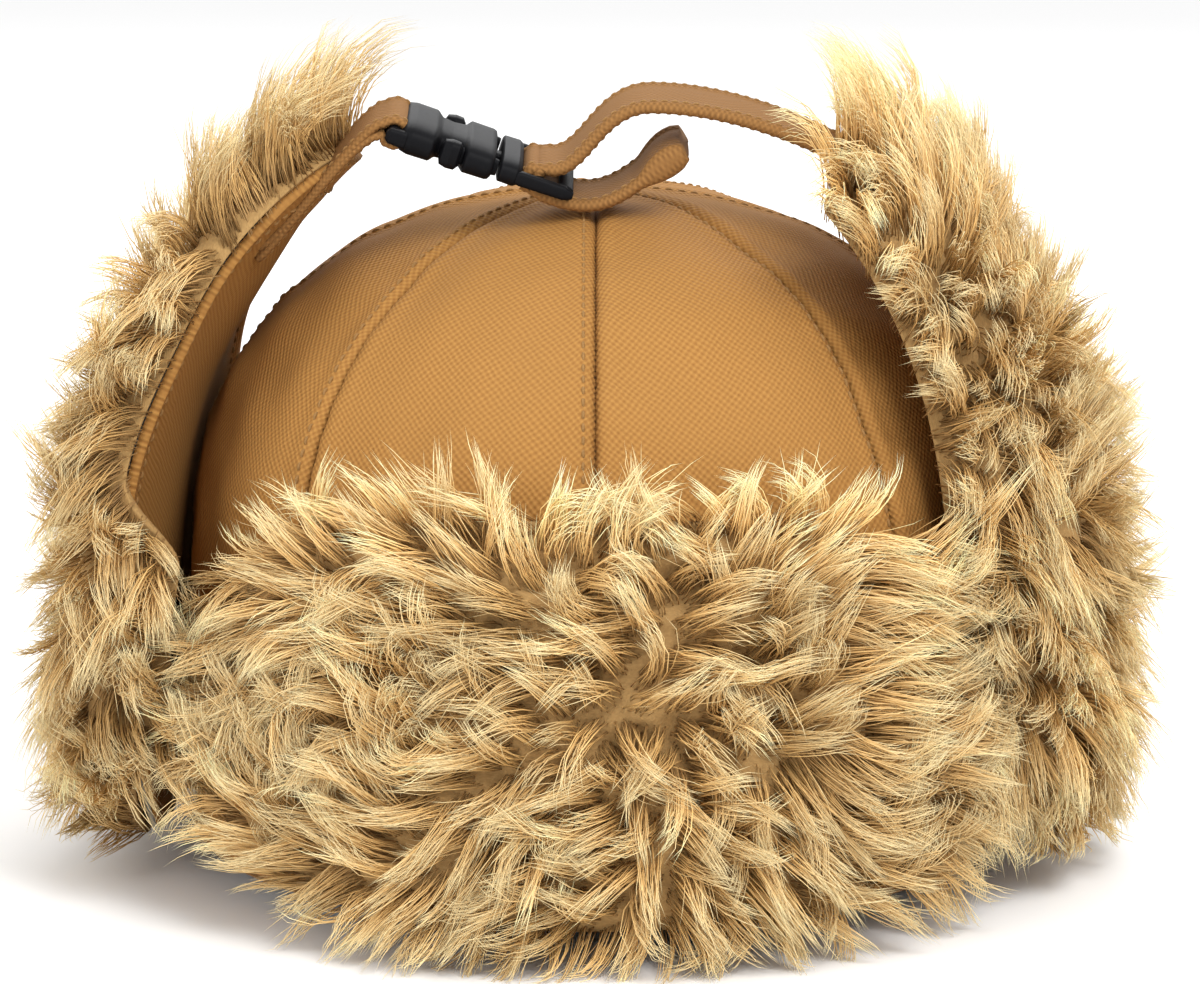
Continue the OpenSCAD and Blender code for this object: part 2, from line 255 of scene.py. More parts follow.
def stitches(name, path, normal, material, body, gap=3.0, long=2.2, r=0.34, sink=0.05):
    """A row of sewn thread: short rounded stitches laid end to end along a path."""
    path, normal = np.asarray(path), np.asarray(normal)
    gone = np.concatenate([[0], np.cumsum(np.linalg.norm(np.diff(path, axis=0), axis=1))])
    starts = np.arange(0.4, gone[-1] - long, gap)
    ts = np.array([0.0, 0.12, 0.35, 0.65, 0.88, 1.0])
    rs = np.array([0.25, 0.8, 1.0, 1.0, 0.8, 0.25]) * r
    hs = np.array([-0.5, 0.2, 0.75, 0.75, 0.2, -0.5]) * r - sink
    at = starts[:, None] + ts * long
    pick = lambda f: np.stack([np.interp(at, gone, f[:, c]) for c in range(3)], -1)
    p, n = pick(path), unit(pick(normal))
    along = unit(np.gradient(p, axis=1))
    side = np.cross(along, n)
    p = p + n * hs[None, :, None]
    ang = np.arange(6) * np.pi / 3
    ring = p[:, :, None] + (side[:, :, None] * np.cos(ang)[:, None]
                            + n[:, :, None] * np.sin(ang)[:, None]) * rs[None, :, None, None]
    m = len(starts)
    base = np.arange(m)[:, None, None] * 36 + np.arange(5)[None, :, None] * 6
    k, k2 = np.arange(6)[None, None], (np.arange(6)[None, None] + 1) % 6
    quads = np.stack([base + k, base + k2, base + 6 + k2, base + 6 + k], -1).reshape(-1, 4)
    caps = np.concatenate([np.arange(m)[:, None] * 36 + np.arange(6)[::-1],
                           np.arange(m)[:, None] * 36 + 30 + np.arange(6)])
    piece(new_mesh(name, ring.reshape(-1, 3), quads, caps), material, body, name,
          tidy=False)


# ---- materials ----

class Nodes:
    """A short way to write a material's node tree."""

    def __init__(self, name):
        self.m = bpy.data.materials.new(name)
        self.m.use_nodes = True
        self.t = self.m.node_tree
        self.shader = self.t.nodes["Principled BSDF"]

    def add(self, kind, **inputs):
        n = self.t.nodes.new("ShaderNode" + kind)
        for k, v in inputs.items():
            if k in ("operation", "blend_type", "data_type", "attribute_name"):
                setattr(n, k, v)
                continue
            key = int(k[1:]) if k[0] == "_" and k[1:].isdigit() else k.replace("_", " ")
            if isinstance(v, bpy.types.NodeSocket):
                self.t.links.new(v, n.inputs[key])
            else:
                n.inputs[key].default_value = v
        return n

    def math(self, op, a, b=0.0):
        return self.add("Math", operation=op, _0=a, _1=b).outputs[0]

    def set(self, **values):
        for k, v in values.items():
            s = self.shader.inputs[k.replace("_", " ")]
            if isinstance(v, bpy.types.NodeSocket):
                self.t.links.new(v, s)
            else:
                s.default_value = v
        return self.m

    def mix(self, factor, a, b):
        n = self.add("MixRGB", Fac=factor)
        for s, v in ((n.inputs[1], a), (n.inputs[2], b)):
            if isinstance(v, bpy.types.NodeSocket):
                self.t.links.new(v, s)
            else:
                s.default_value = (*v, 1)
        return n.outputs[0]


def woven(name, light, dark, pitch=1.75, depth=0.00022, mottle=0.35, rough=0.85):
    """Plain-weave cloth, drawn in the cloth's own millimetres."""
    w = Nodes(name)
    cloth = w.add("Attribute", attribute_name="cloth").outputs["Vector"]
    drift = w.add("TexNoise", Vector=cloth, Scale=0.14, Detail=2.0)
    shifted = w.add("VectorMath", operation="MULTIPLY_ADD", _0=drift.outputs["Color"],
                    _1=(1.2, 1.2, 0.0), _2=cloth).outputs[0]
    xyz = w.add("SeparateXYZ", Vector=shifted)
    k = 2 * math.pi / pitch
    warp = w.math("SINE", w.math("MULTIPLY", xyz.outputs[0], k))
    weft = w.math("SINE", w.math("MULTIPLY", xyz.outputs[1], k))
    crossed = w.math("MULTIPLY", warp, weft)
    bumps = w.add("Math", operation="MULTIPLY_ADD", _0=crossed, _1=0.5, _2=0.5).outputs[0]
    fine = w.add("TexNoise", Vector=cloth, Scale=1.6, Detail=3.0).outputs[0]
    height = w.math("ADD", bumps, w.math("MULTIPLY", fine, 0.35))
    wide = w.add("TexNoise", Vector=cloth, Scale=0.045, Detail=3.0).outputs[0]
    tone = w.math("ADD", w.math("MULTIPLY", bumps, 0.75), w.math("MULTIPLY", fine, 0.45))
    near = w.mix(tone, dark, light)
    worn = w.mix(w.math("MULTIPLY", wide, mottle), near, [c * 0.62 for c in light])
    bump = w.add("Bump", Height=height, Distance=depth, Strength=1.0)
    return w.set(Base_Color=worn, Roughness=rough, Normal=bump.outputs[0],
                 Specular_IOR_Level=0.25)


def plain_cloth(name, light, dark, scale=900.0, rough=0.9):
    w = Nodes(name)
    n = w.add("TexNoise", Scale=scale, Detail=4.0)
    bump = w.add("Bump", Height=n.outputs[0], Distance=0.0002, Strength=0.8)
    return w.set(Base_Color=w.mix(n.outputs[0], dark, light), Roughness=rough,
                 Normal=bump.outputs[0], Specular_IOR_Level=0.2)


def plastic(name, colour):
    w = Nodes(name)
    n = w.add("TexNoise", Scale=1500.0, Detail=2.0)
    bump = w.add("Bump", Height=n.outputs[0], Distance=0.00003, Strength=0.5)
    return w.set(Base_Color=(*colour, 1), Roughness=0.5, Normal=bump.outputs[0],
                 Specular_IOR_Level=0.08)


def pile(name):
    """Acrylic pile: the colour of each strand is stored on it, from a brown root, partly the pile's
    own colour and partly painted shadow deep in the pile, to a pale tip, with the pile's painted
    light multiplied in.
    """
    w = Nodes(name)
    tone = w.add("Attribute", attribute_name="tone").outputs["Color"]
    return w.set(Base_Color=tone, Roughness=0.5, Specular_IOR_Level=0.35)


CANVAS = woven("canvas", [0.43, 0.215, 0.055], [0.225, 0.090, 0.018])
TAPE = woven("tape", [0.30, 0.145, 0.042], [0.135, 0.058, 0.015], pitch=1.3, depth=0.00015)
BINDING = woven("binding", [0.42, 0.215, 0.070], [0.22, 0.100, 0.028], pitch=1.2, depth=0.00015)
LINING = plain_cloth("lining", [0.060, 0.034, 0.020], [0.030, 0.016, 0.010])
BAND = plain_cloth("sweatband", [0.045, 0.030, 0.022], [0.020, 0.013, 0.010])
WADDING = plain_cloth("wadding", [0.72, 0.70, 0.64], [0.50, 0.48, 0.43], 250.0)
THREAD = plain_cloth("thread", [0.42, 0.235, 0.085], [0.27, 0.140, 0.045], 2500.0, 0.7)
BACKING = plain_cloth("fur backing", [0.46, 0.285, 0.110], [0.22, 0.125, 0.045], 160.0)
BLACK = plastic("black plastic", [0.004, 0.004, 0.005])
PILE = pile("pile")


# ---- the crown ----

CORE = np.array([0.0, 0.0, 40.0])        # a point inside it, that the outer faces look away from


def dome(angle, rise, inset=0.0):
    """A point of the crown: angle round it in degrees from +X, rise from 0 at the edge to 1."""
    wall_part = (WALL - EDGE) / (WALL - EDGE + 1.62 * (TOP - WALL))
    on_wall = rise < wall_part
    t = np.clip((rise - wall_part) / (1 - wall_part), 0, 1) * np.pi / 2
    draw = np.clip(np.cos(t), 0, 1) ** (2 / DOME_N)
    high = np.clip(np.sin(t), 0, 1) ** (2 / DOME_N)
    k = np.where(on_wall, 1.0, draw)
    z = np.where(on_wall, EDGE + (WALL - EDGE) * rise / wall_part,
                 WALL + (TOP - WALL - inset) * high)
    a = np.radians(angle)
    return np.stack([(RIM_X - inset) * k * np.cos(a), (RIM_Y - inset) * k * np.sin(a), z], -1)


def gore_points(start, end, nu=49, nv=90):
    """One gore's outer face: full between its seams, drawn in along them, a little creased."""
    t = lines(nu)
    rise = 1 - (1 - lines(nv)) ** 1.25 * 0.995
    rise = (rise - rise[0]) / (rise[-1] - rise[0]) * 0.997
    ang, up = np.meshgrid(start + (end - start) * t, rise, indexing="ij")
    p = dome(ang, up)
    n = normals(p)
    n *= np.sign((n * (p - CORE)).sum(-1).mean())
    across = np.linalg.norm(p[-1] - p[0], axis=-1)[None, :]
    from_seam = np.minimum(t, 1 - t)[:, None] * across
    full = 0.9 * np.clip(1 - np.abs(2 * t - 1) ** 2.4, 0, 1)[:, None] * np.clip(across / 45, 0, 1)
    groove = -1.1 * np.exp(-(from_seam / 0.8) ** 2) * np.clip(across / 8, 0.25, 1)
    ridge = 0.55 * np.exp(-((from_seam - 3.4) / 1.8) ** 2) * np.clip(across / 20, 0, 1)
    pucker = 0.22 * np.exp(-from_seam / 5) * np.sin(p[..., 2] * 0.9 + start)
    soft = 0.75 * wobble(p, 62, 5) + 0.3 * wobble(p, 23, 9)
    soft *= np.clip(across / 40, 0.2, 1)
    low = -0.7 * np.exp(-(p[..., 2] - EDGE) / 4)
    return p + n * (full + groove + ridge + pucker + soft + low)[..., None], n


GORES = {"gore_side_right_front": (-45, 0), "gore_front_right": (-90, -45),
         "gore_front_left": (-135, -90), "gore_side_left_front": (-180, -135),
         "gore_side_right_back": (0, 45), "gore_back_right": (45, 90),
         "gore_back_left": (90, 135), "gore_side_left_back": (135, 180)}


def quilted(a, up, inset, tuft):
    """A layer inside the crown, drawn in between its quilting."""
    p = dome(a, up, inset)
    n = unit(p - CORE)
    quilt = np.abs(np.sin(np.radians(a) * 12) * np.sin(up * 22)) ** 0.5 - 0.6
    return p - n * (quilt * tuft * np.clip(1 - up, 0, 1))[..., None], n


def wadding(node, start, end):
    """The pad behind one gore."""
    a, up = np.meshgrid(lines(20, start + 0.2, end - 0.2), lines(50) * 0.99, indexing="ij")
    p, n = quilted(a, up, WADDING_IN, 0.2)
    me = shell(node, p, WADDING_T, flip=(normals(p)[3, 9] * n[3, 9]).sum() < 0)
    piece(me, WADDING, "crown", node.title(), [node])


def seam_stitches(node, p, n, beside=2.6, narrowest=7):
    """Topstitching beside a gore's seam, as the hat is seen from outside."""
    across = np.linalg.norm(p[-1] - p[0], axis=-1)
    exact = np.clip(1 - beside / np.maximum(across, 6), 0, 1) * (p.shape[0] - 1)
    low = np.minimum(exact.astype(int), p.shape[0] - 2)
    part = (exact - low)[:, None]
    j = np.arange(p.shape[1])
    keep = across > narrowest
    line = (p[low, j] * (1 - part) + p[low + 1, j] * part)[keep]
    stitches("Topstitch_" + node, line, n[low, j][keep], THREAD, "crown")


def lining():
    a, up = np.meshgrid(np.linspace(0, 360, 120, endpoint=False), lines(60) * 0.995, indexing="ij")
    p, n = quilted(a, up, LINING_IN, 0.5)
    me = shell("crown_lining", p, LINING_T, loop=True,
               flip=(normals(p, True)[3, 9] * n[3, 9]).sum() < 0)
    o = piece(me, LINING, "crown", "Crown_Lining", ["crown_lining"])
    cloth(o, np.concatenate([p, p[:1]]), "stretched", "Wadding_Front_Left")


def sweatband(ring):
    a, z = np.meshgrid(ring, lines(16, EDGE + 0.2, BAND_TOP), indexing="ij")
    rad = np.radians(a)
    inset = BAND_IN + 0.25 * np.sin(rad * 37) * smooth(z, BAND_TOP - 12, BAND_TOP)
    p = np.stack([(RIM_X - inset) * np.cos(rad), (RIM_Y - inset) * np.sin(rad), z], -1)
    o = piece(shell("band", p, BAND_T, loop=True), BAND, "crown", "Sweatband", ["sweatband"])
    cloth(o, np.concatenate([p, p[:1]]), "stretched", "Crown_Lining")


def rim_binding(ring):
    """The folded tape that wraps the rim, a closed ring of one rounded section."""
    rad = np.radians(ring)
    m = len(rad)
    path = np.stack([(RIM_X - BINDING_IN) * np.cos(rad), (RIM_Y - BINDING_IN) * np.sin(rad),
                     np.full(m, 1.8)], -1)
    sec = np.array([(BINDING_HALF_W * math.copysign(abs(math.cos(t)) ** 0.6, math.cos(t)),
                     BINDING_HALF_H * math.copysign(abs(math.sin(t)) ** 0.7, math.sin(t)))
                    for t in np.arange(16) * math.pi / 8])
    out = unit(np.stack([np.cos(rad), np.sin(rad), np.zeros(m)], -1))
    p = (path[:, None] + out[:, None] * sec[None, :, :1] + np.array([0, 0, 1.0]) * sec[None, :, 1:])
    p = p + (0.12 * np.sin(rad * 90))[:, None, None] * out[:, None]
    k = len(sec)
    here, after = np.arange(m) * k, (np.arange(m) + 1) % m * k
    closing = np.stack([here + k - 1, after + k - 1, after, here], -1)
    me = new_mesh("binding", p, np.concatenate([grid_quads(m, k, True), closing]))
    flat = np.stack([np.broadcast_to(np.arange(k) * 1.2, (m, k)),
                     np.broadcast_to((rad * 100)[:, None], (m, k)), np.zeros((m, k))], -1)
    put(me, "cloth", "FLOAT_VECTOR", flat)
    piece(me, BINDING, "crown", "Rim_Binding", ["rim_binding"])


def crown():
    for node, (start, end) in GORES.items():
        p, n = gore_points(start, end)
        o = piece(shell(node, p, GORE_T, flip=(n[5, 5] * normals(p)[5, 5]).sum() < 0), CANVAS,
                  "crown", node.title(), [node])
        cloth(o, p, "stretched", node.replace("gore", "wadding").title())
        seam_stitches(node, p, n)
        wadding(node.replace("gore", "wadding"), start, end)
    lining()
    ring = np.linspace(0, 360, 180, endpoint=False)
    sweatband(ring)
    rim_binding(ring)


# ---- the sheets that fold up against the crown ----

WRAP_REACH = 57.0       # how far the visor and the neck flap go round the crown, in degrees


def wrap_points(nu, nv, height, drop, out, back=False, reach=WRAP_REACH, close=0.0):
    """The visor, or the neck flap at the back: p runs across it, q from its fold to its edge.

    drop is how much lower its upper corners are than its middle. close draws the edges in.
    """
    p, q = np.meshgrid(lines(nu, -1, 1), lines(nv), indexing="ij")
    out = out - close * smooth(np.maximum(np.abs(p), q), 0.88, 0.98)
    a = np.radians(p * reach)
    top = height - drop * np.abs(p) ** 3
    foot = 1.5 + (0 if back else 15) * np.abs(p) ** 2.6
    z = foot + (top - foot) * q
    lean = 1 - 0.030 * smooth(q, 0.5, 1.0)
    x = (RIM_X + out) * np.sin(a) * lean
    y = -(RIM_Y + out) * np.cos(a) * lean
    pts = np.stack([x, y, z], -1)
    if back:
        pts = pts * [-1, -1, 1]
    return pts, p, q


def flap_points(nu, nv, side, out, margin, close=0.0, roll=0.0):
    """An ear flap: p runs from its front edge to its rear edge, q from its fold to its tip.

    side is 1 for the right flap and -1 for the left. margin is how far its edges lie in from the
    widest outline. close draws the edges in onto the canvas. roll turns the front edge round the
    canvas, all the way up on the right and along the lower half on the left.
    """
    p, q = np.meshgrid(lines(nu, -1, 1), lines(nv), indexing="ij")
    out = out - close * smooth(np.maximum(np.abs(p), q), 0.86, 0.97)
    q_round = q * (1 - 0.09 * np.abs(p) ** 3.5)
    phi = np.radians(FLAP_LOW + (FLAP_HIGH - FLAP_LOW) * q_round)
    x = (FLAP_A + out) * np.cos(phi)
    z = FLAP_Z + (FLAP_B + out) * np.sin(phi)
    s = np.clip(z / 173.0, 0, 1)
    mid = 2 - 28 * s ** 1.5
    half = 24 + 40 * (1 - s ** 2.5) - margin
    y = mid + half * p
    front, rear = smooth(-p), smooth(p)
    mild = smooth(q, 0.0, 0.35)
    round_it = 1 - np.sqrt(1 - np.clip(np.abs(y) / (x * 1.14), 0, 0.9) ** 2)
    round_it = round_it * (0.9 - 0.6 * smooth(q, 0.3, 1.0))
    if side > 0:
        x = x * (1 - round_it) + mild * (-5 - 5 * front)
    else:
        x = x * (1 - round_it * rear) - 9 * mild * (1 - front)
    z = z + 32 * smooth(-p, 0.3, 1.0) ** 1.5 * (1 - smooth(q, 0.0, 0.42))
    rolled = roll * smooth(-p, 0.66, 1.0) * (1.0 if side > 0 else 1 - smooth(q, 0.44, 0.58))
    x, y = x - (6 if side > 0 else 15) * rolled ** 1.5, y - 7 * rolled
    pts = np.stack([x * side, y, z], -1)
    pts[..., 0] += 1.1 * wobble(pts, 55, 21 + side)
    return pts, p, q


def facing(p, away):
    """Unit normals of a grid of points, on the side that looks away from a point inside."""
    n = normals(p)
    s = np.sign((n * (p - away)).sum(-1).mean())
    return n * s, s < 0


HEART = np.array([0.0, 0.0, 60.0])       # the same for the folded sheets and their fur


def fur_bed(name, p, depth, body, node, floor=0.5):
    """The dense, dark foot of the pile: a lumpy pad that fills in below the long strands."""
    n, _ = facing(p, HEART)
    outer = p + n * depth[..., None]
    outer[..., 2] = np.maximum(outer[..., 2], floor)
    nu, nv = p.shape[:2]
    q, m = grid_quads(nu, nv), nu * nv
    i, j = np.arange(nu - 1), np.arange(nv - 1)
    sides = [np.stack([i * nv + e, (i + 1) * nv + e, (i + 1) * nv + e + m, i * nv + e + m], -1)
             for e in (0, nv - 1)]
    sides += [np.stack([e * nv + j, e * nv + j + 1, e * nv + j + 1 + m, e * nv + j + m], -1)
              for e in (0, nu - 1)]
    me = new_mesh(name, np.concatenate([outer.reshape(-1, 3), p.reshape(-1, 3)]),
                  np.concatenate([q, q[:, ::-1] + m] + sides))
    return piece(me, BACKING, body, name, [node])


class Skin:
    """A surface that strands grow from: a grid of points, with its normals and directions."""

    def __init__(self, pts, p, q, bed):
        self.pts, self.p, self.q, self.bed = pts, p, q, bed
        self.n, _ = facing(pts, HEART)
        self.tp = unit(np.gradient(pts, axis=0))
        self.tq = unit(np.gradient(pts, axis=1))
        a = np.linalg.norm(np.diff(pts, axis=0), axis=2)[:, :-1]
        b = np.linalg.norm(np.diff(pts, axis=1), axis=2)[:-1]
        self.cells = (a * b).ravel() / (a * b).sum()
        self.area = (a * b).sum()
        self.shape = (pts.shape[0] - 1, pts.shape[1] - 1)

    def scatter(self, count):
        pick = rng.choice(len(self.cells), count, p=self.cells)
        return np.stack([pick // self.shape[1] + rng.random(count),
                         pick % self.shape[1] + rng.random(count)], -1)

    def at(self, field, where):
        i = np.clip(where[:, 0].astype(int), 0, self.shape[0] - 1)
        j = np.clip(where[:, 1].astype(int), 0, self.shape[1] - 1)
        f, g = where[:, 0] - i, where[:, 1] - j
        if field.ndim == 3:
            f, g = f[:, None], g[:, None]
        return (field[i, j] * (1 - f) * (1 - g) + field[i + 1, j] * f * (1 - g)
                + field[i, j + 1] * (1 - f) * g + field[i + 1, j + 1] * f * g)


def spread(pts, gap):
    """The first of the points that are each at least gap from those kept before."""
    kept, cells = [], {}
    for k, c in enumerate(np.floor(pts / gap).astype(int)):
        c = tuple(c)
        near = [m for x in (-1, 0, 1) for y in (-1, 0, 1) for z in (-1, 0, 1)
                for m in cells.get((c[0] + x, c[1] + y, c[2] + z), ())]
        if all(((pts[k] - pts[m]) ** 2).sum() > gap * gap for m in near):
            kept.append(k)
            cells.setdefault(c, []).append(k)
    return np.array(kept)


STEPS = np.array([0.0, 0.2, 0.42, 0.64, 0.84, 1.0])     # where a strand's rings are along it
WIDTHS = np.array([1.0, 1.0, 0.92, 0.74, 0.45])         # its width at each, before the point
SUNK = 1.8              # how deep a strand's foot is in the backing
LIMIT_SOFT = 1.6        # how gradually strands bend away from their lowest and highest


def strands(name, roots, guides, tone, radius, body):
    """Tapered three-sided strands. guides holds one curve per strand, as offsets from its root."""
    count, steps = guides.shape[:2]
    curve = roots[:, None] + guides
    along = unit(np.gradient(curve, axis=1))
    v = unit(np.cross(along[:, 0], rng.normal(size=(count, 3))))
    rings = []
    for k in range(steps - 1):
        v = unit(v - along[:, k] * (v * along[:, k]).sum(-1, keepdims=True))
        w = np.cross(along[:, k], v)
        for a in (0, 2 * np.pi / 3, 4 * np.pi / 3):
            rings.append(curve[:, k] + (v * math.cos(a) + w * math.sin(a))
                         * (radius * WIDTHS[k])[:, None])
    verts = np.stack(rings + [curve[:, -1]], 1)
    per = verts.shape[1]
    quads = [(k * 3 + a, k * 3 + (a + 1) % 3, k * 3 + 3 + (a + 1) % 3, k * 3 + 3 + a)
             for k in range(steps - 2) for a in range(3)]
    last = (steps - 2) * 3
    tris = [(last, last + 1, per - 1), (last + 1, last + 2, per - 1), (last + 2, last, per - 1),
            (0, 2, 1)]
    base = (np.arange(count) * per)[:, None, None]
    me = new_mesh(name, verts.reshape(-1, 3), (base + np.array(quads)).reshape(-1, 4),
                  (base + np.array(tris)).reshape(-1, 3))
    t = np.array([STEPS[k] for k in range(steps - 1) for _ in range(3)] + [1.0])
    low, high = smooth(t, 0.0, 0.5)[None, :, None], smooth(t, 0.45, 1.0)[None, :, None]
    # darker towards the root: partly the pile's own brown, partly painted shadow deep in the pile
    colour = FUR_ROOT_SHADOWED * (1 - low) + FUR_MID * low
    colour = colour * (1 - high) + FUR_TIP * high
    colour = colour * tone[:, None, None] ** [0.9, 1.0, 1.15]
    rgba = np.concatenate([np.clip(colour, 0, 0.95), np.ones(colour.shape[:2] + (1,))], -1)
    put(me, "tone", "FLOAT_COLOR", rgba)
    piece(me, PILE, body, name, tidy=False)


def fur(names, skin, flow, body, density, gap, long, seed, lowest=FUR_FLOOR, painted_light=(1.0, 0.0),
        converge=0.86):
    """Long pile on a skin, in locks. names gives one piece for each part of its width.

    flow(p, q) gives the direction the locks fall (radians from the skin's p direction), how far
    they lean from the first (0 to 1) and a share of the full length. density is in strands per
    square millimetre, gap is between locks and long is their length. lowest is how far down the
    pile hangs, and the argument after it is painted light: the pile's overall brightness, painted
    darker where it faces away from the lamp, and how much brighter its upper edge is painted, a
    painted highlight. converge is how far a lock's strands draw together.
    """
    trial = skin.scatter(int(skin.area / gap ** 2 * 5))
    keep = spread(skin.at(skin.pts, trial), gap)
    lock = trial[keep]
    pick = lambda f: skin.at(f, lock)
    c, n, tp, tq = pick(skin.pts), unit(pick(skin.n)), unit(pick(skin.tp)), unit(pick(skin.tq))
    tq = unit(tq - tp * (tq * tp).sum(-1, keepdims=True))
    way, lean, share = flow(pick(skin.p), pick(skin.q))
    m = len(lock)
    way = way + 0.75 * wobble(c, 30, seed) + rng.normal(size=m) * 0.34
    fall = tp * np.cos(way)[:, None] + tq * np.sin(way)[:, None]
    side = np.cross(n, fall)
    first = 0.10 + 0.50 * lean + 0.14 * wobble(c, 17, seed + 1)
    turn = 0.62 + 0.38 * lean + rng.normal(size=m) * 0.16
    curl = 1.1 * wobble(c, 31, seed + 2) + rng.normal(size=m) * 0.6
    full = long * share * rng.uniform(0.82, 1.12, m)
    spine, fine = [np.zeros((m, 3))], 24
    for k in range(fine):
        t = (k + 0.5) / fine
        tilt = (first + turn * t ** 1.4)[:, None]
        sway = (curl * t ** 1.3)[:, None]
        d = n * np.cos(tilt) + (fall * np.cos(sway) + side * np.sin(sway)) * np.sin(tilt)
        d = unit(d + np.array([0, 0, -0.22 * t]))
        spine.append(spine[-1] + d * (full / fine)[:, None])
    spine = np.stack(spine, 1)[:, np.round(STEPS * fine).astype(int)]

    root = skin.scatter(int(skin.area * density))
    r = skin.at(skin.pts, root)
    owner = np.empty(len(r), dtype=int)
    for s in range(0, len(r), 2000):
        d2 = ((r[s:s + 2000, None] - c[None]) ** 2).sum(-1)
        owner[s:s + 2000] = d2.argmin(1)
    size = rng.uniform(0.66, 1.08, len(r))
    guides = spine[owner] * size[:, None, None]
    pull = converge * rng.uniform(0.62, 1.05, len(r))
    guides = guides + (c[owner] - r)[:, None] * (pull[:, None] * STEPS ** 1.5)[..., None]
    stray = rng.normal(size=(len(r), 3)) * 1.5
    stray2 = rng.normal(size=(len(r), 3)) * 0.8
    loose = (rng.random(len(r)) < 0.06) * 2.0 + 1.0
    guides = guides + (stray * loose[:, None])[:, None] * (STEPS ** 1.5)[None, :, None] * 0.6
    guides = guides + stray2[:, None] * np.sin(STEPS * 9.0)[None, :, None] * 0.35
    rise = unit(skin.at(skin.n, root)) * (skin.at(skin.bed, root) - SUNK)[:, None]
    z = (r + rise)[:, None, 2] + guides[..., 2]
    low = (lowest + 2.5 * wobble(r, 9, seed + 5))[:, None]
    z2 = low + LIMIT_SOFT * np.logaddexp(0, (z - low) / LIMIT_SOFT)
    z2 = FUR_TOP - LIMIT_SOFT * np.logaddexp(0, (FUR_TOP - z2) / LIMIT_SOFT)
    guides[..., 2] += z2 - z
    guides[:, 0] = 0
    tone = (1 + 0.10 * wobble(c, 30, seed + 3) + rng.normal(size=m) * 0.07)[owner]
    tone = tone * rng.uniform(0.84, 1.14, len(r))
    # painted light: the pile is painted darker overall where it faces away from the lamp, and
    # painted brighter along its upper edge as a painted highlight
    tone = tone * (painted_light[0] + painted_light[1] * smooth(skin.at(skin.q, root), 0.72, 1.0))
    radius = rng.uniform(0.11, 0.20, len(r))
    where = skin.at(skin.p, root)
    edges = np.linspace(-1, 1, len(names) + 1)
    for k, name in enumerate(names):
        mine = (where >= edges[k]) & (where <= edges[k + 1] if k == len(names) - 1
                                      else where < edges[k + 1])
        strands(name, r[mine] + rise[mine], guides[mine], tone[mine], radius[mine], body)


def radial(p0, q0, wide, high, rest=0.42, reach=0.85):
    """Locks that fall away from one part of the skin, tousled and standing up near it.

    p0 and q0 say where that is, on a skin wide by high. They lean rest there, and all the way
    over at reach of the half width.
    """
    def flow(p, q):
        dx, dy = (p - p0) * wide, (q - q0) * high
        r = np.hypot(dx, dy) / (0.5 * max(wide, high))
        swirl = 2.6 * wobble(np.stack([dx, dy, np.zeros_like(dx)], -1), 46, 97)
        way = np.arctan2(dy, dx) + swirl * (1 - smooth(r, 0.1, 0.95))
        way = way + rng.normal(size=len(p)) * 1.5 * (1 - smooth(r, 0.1, 0.55))
        return way, rest + (1 - rest) * smooth(r, 0.05, reach), np.ones_like(p)
    return flow


def over_tip(flow):
    """The same fall of locks, with those at the tip longer and pointing past it."""
    def tipped(p, q):
        way, lean, share = flow(p, q)
        k = smooth(q, 0.74, 1.0)
        return way * (1 - k) + math.pi / 2 * k, lean, share * (1 + 0.28 * k)
    return tipped


def bed_depth(p, q, pts, full):
    """How thick the fur's backing is: full in the middle, thin along its edges, a little lumpy."""
    edge = np.clip(1 - np.abs(p) ** 5, 0, 1) ** 0.5
    edge = edge * np.clip(1 - np.abs(2 * q - 1) ** 5, 0, 1) ** 0.5
    return full * edge * (1 + 0.28 * wobble(pts, 14, 77) + 0.15 * wobble(pts, 6, 78)) + 0.5


def hem(name, p, n, body, inset_index):
    """Topstitching round a sheet's free edges, a little in from them."""
    nu, nv = p.shape[:2]
    a, b = inset_index
    ring = [(a, j) for j in range(2, nv - b)] + [(i, nv - 1 - b) for i in range(a, nu - a)]
    ring += [(nu - 1 - a, j) for j in range(nv - 1 - b, 1, -1)]
    i, j = np.array(ring).T
    stitches(name, p[i, j], n[i, j], THREAD, body)


def wrapped_sheet(name, mesh_name, body, height, drop, back):
    """Canvas and interlining of the visor or the neck flap. Returns the ground for its fur."""
    pts, p, q = wrap_points(72, 36, height, drop, WRAP_OUT["canvas"], back=back)
    n, flip = facing(pts, HEART)
    o = piece(shell(mesh_name + "_canvas", pts, SHEET_T, flip=flip), CANVAS, body,
              name + "_Canvas", [body + "_canvas"])
    cloth(o, pts, "folded", "Rim_Binding")
    hem(name + "_Topstitch", pts - n * SHEET_T, -n, body, (2, 2))
    inner, p, q = wrap_points(60, 30, height - 5, drop, WRAP_OUT["interlining"], back=back,
                              reach=WRAP_REACH - 3)
    o = piece(shell(mesh_name + "_interlining", inner, INTERLINING_T,
                    flip=facing(inner, HEART)[1]),
              WADDING, body, name + "_Interlining", [body + "_interlining"])
    cloth(o, inner, "folded", name + "_Canvas")
    bed, p, q = wrap_points(110, 56, height + 1, drop, WRAP_OUT["fur"], back=back,
                            reach=WRAP_REACH + 1, close=2.2)
    depth = bed_depth(p, q, bed, 6.5)
    fur_bed(name + "_Fur_Backing", bed, depth, body, body + "_fur")
    return Skin(bed, p, q, depth)


def visor():
    skin = wrapped_sheet("Visor", "visor", "visor", VISOR_H, 26, False)
    fur(["Visor_Fur_Left", "Visor_Fur_Middle", "Visor_Fur_Right"], skin,
        radial(0.18, 0.42, 105, 90), "visor", density=1.16, gap=3.8, long=24, seed=31,
        # painted light: the visor's pile is painted a little darker, and brighter along its upper
        # edge
        painted_light=(0.94, 0.26))


